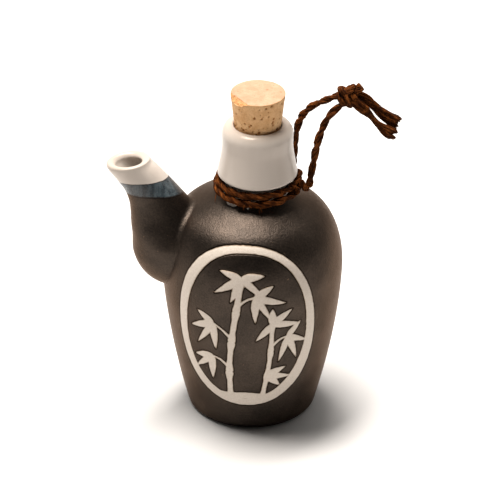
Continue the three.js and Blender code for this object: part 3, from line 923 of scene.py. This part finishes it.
# %% Lay the groove
ROW_POINTS = 10
seam_way = np.roll(seam, -1, axis=0) - np.roll(seam, 1, axis=0)
groove_rows = []
for point, forward in zip(seam, seam_way):
    reach = 1.3 + 1.5 * float(smoothstep(point[2], 72, 97))
    body_normal, spout_normal = laid_on(body_tree, point)[1], laid_on(spout_tree, point)[1]
    over_body, over_spout = np.cross(forward, body_normal), np.cross(forward, spout_normal)
    over_body *= reach / np.linalg.norm(over_body) * (1 if over_body @ spout_normal > 0 else -1)
    over_spout *= reach / np.linalg.norm(over_spout) * (1 if over_spout @ body_normal > 0 else -1)
    start, end = laid_on(body_tree, point + over_body)[0], laid_on(spout_tree, point + over_spout)[0]
    t = np.linspace(0, 1, ROW_POINTS)[:, None]
    groove_rows.append((1 - t) ** 2 * start + 2 * t * (1 - t) * point + t ** 2 * end)
groove_rows = np.array(groove_rows)
groove_faces = []
for i in range(SPOUT_SIDES):
    for j in range(ROW_POINTS - 1):
        a, b = i * ROW_POINTS + j, (i + 1) % SPOUT_SIDES * ROW_POINTS + j
        groove_faces.append([a, a + 1, b + 1, b])
first = groove_rows[1, 0] - groove_rows[0, 0]
facing = np.cross(groove_rows[0, 1] - groove_rows[0, 0], first) @ laid_on(body_tree, seam[0])[1]
if facing < 0:
    groove_faces = [face[::-1] for face in groove_faces]
groove = plain_object("groove", groove_rows.reshape(-1, 3), groove_faces)
with bpy.context.temp_override(active_object=bottle, selected_editable_objects=[bottle, groove]):
    bpy.ops.object.join()
print("the groove has", len(groove_faces), "faces")

# %% [markdown]
# ## Brush painting
# The front carries a broad oval ring and, inside it, a spray of bamboo, both painted in pale slip
# with a loaded brush. A stroke is a line of touching discs whose width changes along it. Each point
# of the mesh stores how far it is from the nearest stroke's edge, in millimetres and negative
# inside, so the finish can draw a clean edge and a dark line of glaze beside it.

# %% The oval ring
RING_CENTRE, RING_HALF = np.array([-3, 55.1]), (30.3, 38.2)
RING_WIDTHS = [
    (0, 4.6), (45, 3.3), (65, 2.4), (100, 2.4), (145, 5), (180, 4.7), (215, 4.4), (270, 4), (325, 6),
]


def discs(points, widths, spacing=0.35):
    """Touching discs along a curved stroke, as rows of across, height and radius"""
    shares = np.linspace(0, 1, len(points))
    widths = np.interp(shares, np.linspace(0, 1, len(widths)), widths)
    line = smooth_route(np.column_stack([points, widths]), spacing)
    line[:, 2] /= 2
    return line


def ring_stroke():
    angle = np.radians(np.arange(0, 360, 0.5))
    power = np.where(np.sin(angle) > 0, 2.25, 2)
    reach = (np.abs(np.cos(angle)) ** power + np.abs(np.sin(angle)) ** power) ** (-1 / power)
    points = RING_CENTRE + reach[:, None] * np.stack([np.cos(angle), np.sin(angle)], 1) * RING_HALF
    places, widths = zip(*RING_WIDTHS)
    width = np.interp(np.degrees(angle), places, widths, period=360)
    width = np.mean([np.roll(width, k) for k in range(-24, 25)], axis=0)
    width = width + 0.16 * soft_noise(np.column_stack([points, points[:, 0] * 0]), 6, 31)
    return np.column_stack([points, width / 2])


strokes = [ring_stroke()]
print("the ring is", len(strokes[0]), "discs,", round(2 * strokes[0][:, 2].min(), 1), "to",
      round(2 * strokes[0][:, 2].max(), 1), "mm wide")

# %% [markdown]
# Bamboo is the classic exercise in brush painting, because each part is one kind of stroke: a stalk
# is a row of short straight ones that swell where the brush rests at a joint, and a leaf is one that
# presses down and lifts off into a point.

# %% Stalks and leaves
STALK_SWELL = np.array([1.2, 0.86, 0.84, 0.86, 1.22])
LEAF_SWELL = np.array([0.25, 0.75, 0.98, 1, 0.92, 0.76, 0.56, 0.33, 0.06])


def stalk(points, joints, width):
    """A bamboo stalk: straight strokes between its joints, each a little thicker at both ends"""
    line = smooth_route(points, 0.3)
    cuts = [0, *joints, 1]
    pieces = []
    for start, end in zip(cuts, cuts[1:]):
        piece = line[round(start * (len(line) - 1)):round(end * (len(line) - 1)) + 1][2:-2]
        if len(piece) > 6:
            pieces.append(discs(piece[::4], STALK_SWELL * width))
    return pieces


def leaf(root, direction, length, width=3.2, bend=8):
    """A drooping leaf: a thin stem, a full belly and a long sharp tip"""
    share = np.linspace(0, 1, 9)
    heading = math.radians(direction) - math.radians(bend) * share
    steps = np.stack([np.cos(heading), np.sin(heading)], 1) * length / 8
    points = np.array(root) + np.vstack([[0, 0], np.cumsum(steps[:-1], axis=0)])
    return discs(points, LEAF_SWELL * width, 0.25)


def spray(root, fan, seed):
    """A cluster of leaves that hang from one point, given as directions and lengths"""
    rng = np.random.default_rng(seed)
    return [leaf(root, direction, length, rng.uniform(2.9, 3.7), rng.uniform(-9, 9))
            for direction, length in fan]


# %% [markdown]
# Two stalks lean apart, with twigs at their joints. Leaves hang in clusters, each a fan of
# directions and lengths, so that no two clusters are alike. A last stroke is the ground.

# %% Paint the spray
strokes += stalk([(-9, 19), (-9.6, 36), (-8.6, 52), (-6.6, 68), (-4.6, 82)], (0.24, 0.5, 0.76), 2.9)
strokes += stalk([(4.6, 20), (6.8, 33), (8.2, 46), (8.8, 60)], (0.3, 0.64), 2.4)
for twig in ([(-8.6, 52), (-13.4, 56.6), (-17.2, 59)], [(-6.4, 69), (-2.4, 72.6), (1.4, 74)],
             [(8.4, 48), (12.4, 51.6), (15.6, 52.6)], [(-9.6, 36), (-14, 40), (-17.4, 41)]):
    strokes.append(discs(twig, [1.5, 1.1, 0.9]))
strokes += spray((-17.2, 59), [(205, 12), (242, 15), (275, 14), (150, 9)], 41)
strokes += spray((-4.6, 82), [(212, 14), (248, 12), (-38, 14), (10, 10), (165, 10)], 42)
strokes += spray((1.4, 74), [(-20, 14), (-58, 14), (-92, 13), (30, 9)], 43)
strokes += spray((15.6, 52.6), [(-30, 11), (-68, 14), (-104, 14), (45, 9)], 44)
strokes += spray((8.8, 60), [(-8, 13), (38, 11), (232, 11), (90, 8)], 45)
strokes += spray((-17.4, 41), [(190, 9), (228, 12), (268, 13)], 46)
strokes += spray((6.6, 32.5), [(24, 9), (-16, 11), (-52, 9)], 47)
GROUND = [(-20, 21.4), (-11, 19.6), (-2, 20.6), (8, 19.2), (15, 21.8)]
strokes.append(discs(GROUND, [1.4, 3.9, 3.6, 3.9, 1.4]))
dots = np.vstack(strokes)
print(len(strokes), "strokes of", len(dots), "discs")

# %% [markdown]
# Slip is thick, so the strokes stand a little proud of the pot, and a shallow line runs round them
# where the glaze drew back. Both are real relief: every point on the front moves outwards by an
# amount that depends on its distance from the nearest stroke.

# %% Paint the mesh
SLIP_HEIGHT, GLAZE_DIP = 0.14, 0.05
FAR_FROM_BRUSH = 9.0


def brush_distance(points, dots):
    """The distance of each point from the nearest disc's edge, worked out in small batches"""
    result = np.empty(len(points))
    size = 2000
    for start in range(0, len(points), size):
        batch = points[start:start + size, None]
        gap = np.hypot(batch[..., 0] - dots[:, 0], batch[..., 1] - dots[:, 1]) - dots[:, 2]
        result[start:start + size] = gap.min(axis=1)
    return result


mesh = bottle.data
points = np.empty(len(mesh.vertices) * 3)
mesh.vertices.foreach_get("co", points)
points = points.reshape(-1, 3) / MM
azimuth = np.arctan2(points[:, 0], -points[:, 1])
skin_radius = body_radius(np.clip(points[:, 2], 0, 96))
on_front = (np.abs(azimuth) < 1.12) & (points[:, 2] > 10) & (points[:, 2] < 97.4)
on_front &= np.hypot(points[:, 0], points[:, 1]) > skin_radius - 1.5
unrolled = np.column_stack([azimuth * skin_radius, points[:, 2]])[on_front]
unrolled = unrolled + 0.1 * np.column_stack([soft_noise(points[on_front], 1.3, seed) for seed in (51, 52)])
brush = np.full(len(points), FAR_FROM_BRUSH)
brush[on_front] = np.minimum(brush_distance(unrolled, dots), FAR_FROM_BRUSH)
raised = SLIP_HEIGHT * smoothstep(-brush, -0.25, 0.45)
raised = raised - GLAZE_DIP * smoothstep(-np.abs(brush - 0.35), -0.35, 0)
outward = np.column_stack([points[:, :2], points[:, 2] * 0])
outward /= np.maximum(np.linalg.norm(outward, axis=1), 1e-6)[:, None]
points += outward * raised[:, None]
mesh.vertices.foreach_set("co", (points * MM).ravel())
mesh.attributes.new("brush", "FLOAT", "POINT").data.foreach_set("value", brush.astype(np.float32))
print(round((brush < 0).sum() / on_front.sum(), 2), "of the front's points are painted")

# %% [markdown]
# ## Glaze
# The pot has four glazes: a dark satin one all over, the pale slip of the painting, a glossy white
# on collar and spout tip, and a thin blue-grey band where white and dark ran into each other. Each
# has a border, which is a height or a tilted plane in the object's own millimetres, made uneven by
# noise. Unwrapping the pot and painting an image could do the same, but borders that are sums stay
# sharp at any size.

# %% Where each glaze lies
SPOUT_SIDE = -25
WHITE_TILT, WHITE_LEVEL = (-0.051, 0.171), 112.56
BLUE_TILT, BLUE_LEVEL = (0.038, 0.215), 101.73
COLLAR_FOOT = 106.4
THROAT_SLOPE, THROAT_LEVEL = 0.73, 44.6

glaze = Finish("stoneware_glazes")
spot = glaze.place()
x, y, z = glaze.axes(spot)
brush_value = glaze.node("ShaderNodeAttribute", output="Fac", attribute_name="brush")
grains = glaze.noise(spot, 0.8, detail=3, roughness=0.75)
clouds = glaze.noise(spot, 11, detail=3, seed=2)
ripple = glaze.noise(spot, 5, detail=2, seed=4) - 0.5

paint_mask = 1 - brush_value.rise(-0.12, 0.12)
outline_mask = brush_value.rise(-0.1, 0.15) * (1 - brush_value.rise(0.35, 0.75))
gold_mask = brush_value.rise(-0.32, -0.05) * (1 - brush_value.rise(0.02, 0.2))
at_spout = 1 - x.rise(SPOUT_SIDE - 0.5, SPOUT_SIDE + 0.5)
white_edge = z + ripple * 0.7 + x * WHITE_TILT[0] + y * WHITE_TILT[1] - WHITE_LEVEL
blue_edge = z + ripple * 0.9 + x * BLUE_TILT[0] + y * BLUE_TILT[1] - BLUE_LEVEL
# Painted highlight: the white glaze reaches down in two slivers under the twine at the front left, and
# their white colour stands for a glint there.
painted_glint_dip = x.rise(-14, -10.5) * (1 - x.rise(-8.5, -3.5)) + x.rise(-3.4, -2.2) * (1 - x.rise(-2, -0.6))
collar_edge = z - COLLAR_FOOT + painted_glint_dip * (1 - y.rise(-9, -7)) * 2.5 + ripple * 1.2
white_mask = at_spout * white_edge.rise(-0.15, 0.15) + (1 - at_spout) * collar_edge.rise(-0.15, 0.15)
throat_side = (x + z * THROAT_SLOPE + ripple * 1.5 - THROAT_LEVEL).rise(-1, 1.4)
blue_mask = at_spout * blue_edge.rise(-0.3, 0.3) * (1 - throat_side)
brown_mask = at_spout * blue_edge.rise(-3, 2) * throat_side
border = (1 - (white_edge * white_edge).rise(0.02, 0.3)) + (1 - (blue_edge * blue_edge).rise(0.02, 0.35))
border_mask = at_spout * border.least(1)
painted_lip_shade = at_spout * (z * 0.985 - x * 0.174).rise(124.6, 126.4) + (1 - at_spout) * z.rise(133.5, 136.8)
print("the glazes' borders take", len(glaze.tree.nodes), "nodes")

# %% [markdown]
# The dark glaze is black-brown and broken by clouds, fine grains and a few pale specks. A black line
# runs round each stroke, with a thin golden edge where slip and glaze met. The white lips of spout and
# collar face the lamp and are painted a darker white, a painted shade against that light. Two slivers
# of white under the twine at the front left are a painted highlight. The colours are laid over each
# other from the dark ground up, each through its own mask, with the painted shade of the lips last.

# %% Colours of the glazes
def rgb(red, green, blue):
    """A colour given as it shows on a screen, from 0 to 255, in linear light"""
    return tuple(float(((c / 255 + 0.055) / 1.055) ** 2.4) for c in (red, green, blue))


dark = glaze.blend((clouds * 0.5 + grains * 0.5).rise(0.32, 0.68), rgb(48, 43, 39), rgb(74, 65, 58))
dark = glaze.blend(outline_mask, dark, rgb(22, 18, 15))
specks = glaze.noise(spot, 1, detail=0, seed=12).rise(0.81, 0.85)
dark = glaze.blend(specks * 0.6, dark, rgb(128, 104, 84))
painted = glaze.blend(grains.rise(0.3, 0.75), rgb(210, 199, 186), rgb(225, 215, 204))
streak_spot = glaze.node("ShaderNodeVectorMath", {0: spot, 1: (1, 1, 0.12)}, operation="MULTIPLY")
streaks = glaze.noise(streak_spot, 1.6, detail=2, seed=7).rise(0.3, 0.75)
blue = glaze.blend(streaks, rgb(44, 54, 60), rgb(80, 92, 98))
colour = glaze.blend(brown_mask * 0.6, dark, rgb(98, 74, 56))
colour = glaze.blend(blue_mask, colour, blue)
colour = glaze.blend(border_mask * 0.8, colour, rgb(30, 24, 22))
colour = glaze.blend(paint_mask, colour, painted)
colour = glaze.blend(gold_mask * 0.55, colour, rgb(110, 84, 50))
milky = glaze.noise(streak_spot, 6, detail=1, seed=9)
porcelain = glaze.blend(milky, rgb(196, 186, 176), rgb(209, 200, 191))
colour = glaze.blend(white_mask, colour, porcelain)
# Painted shade: the top-facing lips get a darker white, to hold back the light from above.
colour = glaze.blend(painted_lip_shade, colour, rgb(188, 177, 166))
glaze.set(Base_Color=colour)
print("with its colours the glaze has", len(glaze.tree.nodes), "nodes")

# %% [markdown]
# Iron in the dark glaze forms tiny crystals that mirror light in the glaze's own brown, as metal
# does. So the dark glaze is mostly Metallic, with a warm tint at grazing angles, where a clear coat
# would turn grey. The white, the blue and the slip are plain gloss. Grains in the bump and in the
# roughness break up the shine on the shoulder.

# %% Sheen of the glazes
SATIN, GLOSSY = 0.39, 0.28
glossy_mask = (white_mask + blue_mask).least(1)
gloss = glaze.node("ShaderNodeMix", {0: glossy_mask, 2: SATIN, 3: GLOSSY}, data_type="FLOAT")
rough = gloss + (grains - 0.5) * 0.2 * (1 - white_mask) + paint_mask * 0.06
metal = (1 - (white_mask + blue_mask + paint_mask).least(1)) * 0.9
glaze.set(Roughness=rough, Metallic=metal, Specular_IOR_Level=0.55, Specular_Tint=(0.76, 0.63, 0.55))
pits = glaze.bump(grains * (1 - white_mask), 0.19)
pits = glaze.bump(1 - outline_mask, 0.16, pits)
glaze.set(Normal=glaze.bump(clouds, 0.3, pits))
print("glaze finish has", len(glaze.tree.nodes), "nodes")

mesh.materials.clear()
mesh.materials.append(glaze.material)
mesh.shade_smooth()
mesh.set_sharp_from_angle(angle=math.radians(42))
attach(bottle, "root")
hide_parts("bottle")

# %% [markdown]
# ## Cork
# A tapered cork rests in the mouth. A cone with a bevel and a texture would look flat from near, so
# it is turned from fine rows of points, about a third of a millimetre apart, which later move.

# %% Turn the cork
CORK_BOTTOM, CORK_TOP = 125, 151.7
CORK_RADII = (8.55, 11.65)
cork_line = np.vstack([
    [(0.3, CORK_BOTTOM), (CORK_RADII[0] - 0.4, CORK_BOTTOM)],
    evenly([(CORK_RADII[0], CORK_BOTTOM + 0.4), (CORK_RADII[1], CORK_TOP - 0.4)], 0.28),
    arc((CORK_RADII[1] - 0.35, CORK_TOP - 0.35), (0.35, 0.35), 20, 90, 4),
    evenly([(CORK_RADII[1] - 0.7, CORK_TOP), (0.4, CORK_TOP)], 0.4),
])
cork_turn = np.radians(np.arange(0, 360, 1.44))
radius, height = cork_line[:, 0, None], cork_line[:, 1, None]
cork_rings = np.stack([radius * np.sin(cork_turn), -radius * np.cos(cork_turn),
                       np.broadcast_to(height, (len(cork_line), len(cork_turn)))], -1)
spots, cork_faces = skin(cork_rings)
print("the plain cork has", len(spots), "points")

# %% [markdown]
# Cork is bark, and its pits are the ends of the channels it breathed through. They are pressed in as
# real holes, because the larger ones are over a millimetre wide and catch the light on their rims.
# Those that show most are listed one by one, by their angle round the cork and their height.

# %% Press the pits
PITS = [
    (-70, 137.5, 0.5), (-38, 138, 0.55), (-32, 141.5, 0.35), (3, 137.8, 0.45), (-3, 136.8, 0.4),
    (56, 137.3, 0.6), (39, 143.7, 0.45), (37, 141.6, 0.45), (61, 142.1, 0.4), (31, 150.6, 0.45),
    (18, 149.9, 0.35), (62, 149.5, 0.4), (9, 144.8, 0.35), (-8, 145, 0.35),
]
SIDE_SCALE = 1.3
PIT_DEPTH = 0.32
rng = np.random.default_rng(61)
random_pits = [(rng.uniform(-180, 180), rng.uniform(137, 151), rng.choice([0.2, 0.26, 0.4]))
               for k in range(90)]
centres, sizes = [], []
for degrees, level, size in PITS + random_pits:
    side = np.interp(level, (CORK_BOTTOM, CORK_TOP), CORK_RADII)
    turned = math.radians(degrees)
    centres.append((side * math.sin(turned), -side * math.cos(turned), level))
    sizes.append(size * SIDE_SCALE)
for k in range(11):
    reach, way = 10.8 * math.sqrt(rng.uniform(0, 1)), rng.uniform(0, 2 * math.pi)
    centres.append((reach * math.cos(way), reach * math.sin(way), CORK_TOP))
    sizes.append(rng.choice([0.16, 0.2, 0.3]))
away = np.linalg.norm(spots[:, None] - np.array(centres), axis=2)
away = (away + 0.12 * soft_noise(spots, 0.5, 62)[:, None]) / np.array(sizes)
pit = 1 - smoothstep(away.min(axis=1), 0.55, 1.25)
from_axis = np.maximum(np.linalg.norm(spots[:, :2], axis=1), 1)[:, None]
on_top = (spots[:, 2] > CORK_TOP - 0.05)[:, None]
inward = np.where(on_top, (0, 0, -1), -np.column_stack([spots[:, :2] / from_axis, spots[:, 2] * 0]))
sunk = PIT_DEPTH * pit + 0.05 * soft_noise(spots, 0.9, 63) + 0.06 * soft_noise(spots, 3.5, 64)
spots = spots + inward * sunk[:, None]
print(len(centres), "pits cover", round(100 * float((pit > 0.5).mean()), 1), "% of the points")

# %% [markdown]
# A corner has broken off at the front left. Cutting it with a Boolean would leave a smooth face, so
# points beyond a slanting plane are laid onto it and roughened by noise instead.

# %% Break the corner
CHIP_POINT = np.array([-7.8, -5.4, 151.7])
CHIP_NORMAL = np.array([-0.651, -0.434, 0.6225])
beyond = (spots - CHIP_POINT) @ CHIP_NORMAL
rubble = 0.28 * soft_noise(spots, 1.1, 65) + 0.14 * soft_noise(spots, 0.45, 66)
broken = np.clip(beyond / 0.3, 0, 1)
spots = spots - CHIP_NORMAL * (np.maximum(beyond, 0) + broken * np.maximum(rubble, -0.3))[:, None]
spots[:, 0] += NECK_AXIS_X
print(int((beyond > 0).sum()), "points lie on the break")

# %% [markdown]
# The side is golden. The top is a duller and darker tan, a painted shade against the strong light
# that falls on it from the lamp above. Every point carries three marks: how deep in a pit it is,
# whether it is on the break, and whether it is on top. The finish blends a colour for each, which keeps
# colour and shape together without an image.

# %% Cork finish
cork_finish = Finish("cork_bark", Roughness=0.82, Specular_IOR_Level=0.25)
marks = cork_finish.node("ShaderNodeAttribute", output="Vector", attribute_name="marks")
pit_mark, chip_mark, shaded_top_mark = cork_finish.axes(marks)
spot = cork_finish.place()
speck = cork_finish.noise(spot, 0.55, detail=3, roughness=0.7)
cloud = cork_finish.noise(spot, 3.2, detail=3, seed=5)
side_tone = cork_finish.blend(cloud.rise(0.3, 0.75), rgb(214, 164, 112), rgb(236, 194, 144))
# Painted shade: the top's tan is darker than the side's, to hold back the strong light the lamp throws on
# it.
painted_shade_top_tone = cork_finish.blend(cloud.rise(0.3, 0.7), rgb(177, 138, 111), rgb(191, 154, 128))
tone = cork_finish.blend(shaded_top_mark, side_tone, painted_shade_top_tone)
tone = cork_finish.blend(speck.rise(0.5, 0.74) * 0.6, tone, rgb(160, 108, 62))
crumbs = cork_finish.blend(speck.rise(0.35, 0.65), rgb(226, 172, 116), rgb(172, 108, 56))
tone = cork_finish.blend(chip_mark * 0.8, tone, crumbs)
cork_finish.set(Base_Color=cork_finish.blend(pit_mark * 0.85, tone, rgb(146, 86, 26)))
cork_finish.set(Normal=cork_finish.bump(speck, 0.18))
marks = np.column_stack([pit, broken, on_top[:, 0] * 1.0])
cork = make_piece("cork_bark", [(spots, cork_faces)], cork_finish.material, {"marks": marks})
cork.data.set_sharp_from_angle(angle=math.radians(50))
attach(cork, "root")
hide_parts("cork_stopper")

# %% [markdown]
# ## Table and light
# The object stands on a white table under one soft light, as for a catalogue. The lamp hangs
# overhead, a little behind and to the left, so its mirror image lies on the shoulder in front of the
# neck.

# %% Table and lamp
TABLE_REACH = 3000
table_finish = Finish("white_table", Base_Color=(0.8, 0.8, 0.8), Roughness=0.7, Specular_IOR_Level=0.2)
corners = np.array([(-1, -1, 0), (1, -1, 0), (1, 1, 0), (-1, 1, 0)]) * TABLE_REACH
table = plain_object("table", corners, [[0, 1, 2, 3]])
table.data.materials.append(table_finish.material)

softbox = bpy.data.lights.new("softbox", "AREA")
softbox.shape = "RECTANGLE"
softbox.size, softbox.size_y = 700 * MM, 330 * MM
softbox.energy = 25
softbox.color = (1, 0.94, 0.88)
lamp = bpy.data.objects.new("softbox", softbox)
bpy.context.scene.collection.objects.link(lamp)
lamp.location = Vector((-150, 135, 1090)) * MM
lamp.rotation_euler = (LOOK_AT - lamp.location).to_track_quat("-Z", "Y").to_euler()
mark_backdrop(table, lamp)
print("the lamp hangs", round((lamp.location - LOOK_AT).length, 2), "m from the bottle")

# %% [markdown]
# The dark glaze mostly shows what it mirrors, so the room matters as much as the lamp. It is bright
# behind the bottle, dim overhead and almost black in front, which keeps the belly dark and lets its
# edges shine. The room is the world's background, and its nodes are made as for any finish.

# %% Light of the room
class Room(Finish):
    """The background of the world, fed by the same kinds of nodes"""

    def __init__(self, name, **shader):
        self.world = bpy.data.worlds.new(name)
        self.world.use_nodes = True
        self.tree = self.world.node_tree
        self.shader = self.tree.nodes["Background"]
        self.set(**shader)


ROOM_LIGHT = ((0.34, 0.025), (0.5, 0.28), (1, 1.1))
ROOM_TINT = (1, 0.95, 0.9)
room = Room("studio", Strength=0.9)
bpy.context.scene.world = room.world
front_to_back = room.axes(room.node("ShaderNodeTexCoord", output="Generated"))[1]
share = room.node("ShaderNodeMapRange", {"Value": front_to_back, "From Min": -1})
room_stops = [(place, [light * part for part in ROOM_TINT]) for place, light in ROOM_LIGHT]
room.set(Color=room.node("ShaderNodeValToRGB", {"Fac": share}, stops=room_stops))
bpy.context.scene.view_settings.view_transform = "Standard"
print("the room has", len(room.tree.nodes), "nodes")

# %% [markdown]
# ## Sizes
# The size before and after is gathered in one table.

# %% Finish
low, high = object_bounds()
sizes = {
    "frame_low_m": list(cad_low), "frame_high_m": list(cad_high), "low_m": list(low), "high_m": list(high),
}
print("finished model spans", [round(value / MM, 1) for value in high - low], "mm")
